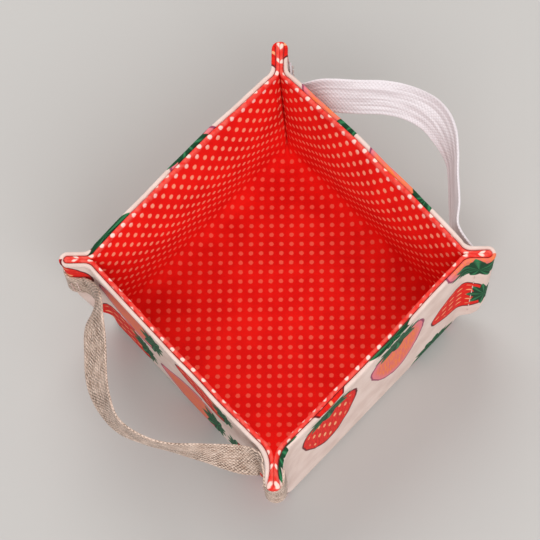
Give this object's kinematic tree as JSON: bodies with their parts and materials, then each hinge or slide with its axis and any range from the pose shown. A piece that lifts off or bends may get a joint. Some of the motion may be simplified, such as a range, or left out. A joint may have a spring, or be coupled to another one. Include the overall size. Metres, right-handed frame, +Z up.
{
  "type": "sewing basket",
  "caption": "Soft square fabric basket with a printed outside, a dotted lining, pinched corner tabs and two webbing strap handles.",
  "frame": {"origin": "centre of the basket's base, on the surface it stands on", "axes": "+Z up, +X towards the right handle, +Y towards the back wall; the handles are on the -X and +X walls"},
  "size_m": [0.2431, 0.1839, 0.08],
  "materials": {
    "printed_cotton": "matt printed cotton, berries on an off-white ground",
    "dotted_cotton": "matt red cotton with small pale dots",
    "wadding": "soft unbleached wadding",
    "webbing": "coarse natural webbing",
    "thread": "sewing thread",
    "seam_thread": "sewing thread"
  },
  "bodies": {
    "basket": {"outer_cloth": "printed_cotton", "lining": "dotted_cotton", "base_wadding": "wadding", "back_wadding": "wadding", "left_wadding": "wadding", "front_wadding": "wadding", "right_wadding": "wadding", "back_corner_stitches": "thread", "left_corner_stitches": "thread", "front_corner_stitches": "thread", "right_corner_stitches": "thread", "rim_seam": "seam_thread", "left_handle_rear_end": "webbing", "left_handle_front_end": "webbing", "right_handle_rear_end": "webbing", "right_handle_front_end": "webbing", "handle_stitches": "thread"},
    "left_strap": {"left_handle": "webbing"},
    "right_strap": {"right_handle": "webbing"}
  },
  "joints": [
    {"name": "left_handle_swing", "type": "hinge", "parent": "basket", "child": "left_strap", "pos_m": [-0.087, 0, 0.067], "axis": [0, 1, 0], "range_deg": [-75, 90]},
    {"name": "right_handle_swing", "type": "hinge", "parent": "basket", "child": "right_strap", "pos_m": [0.087, 0, 0.067], "axis": [0, -1, 0], "range_deg": [-75, 90]}
  ]
}
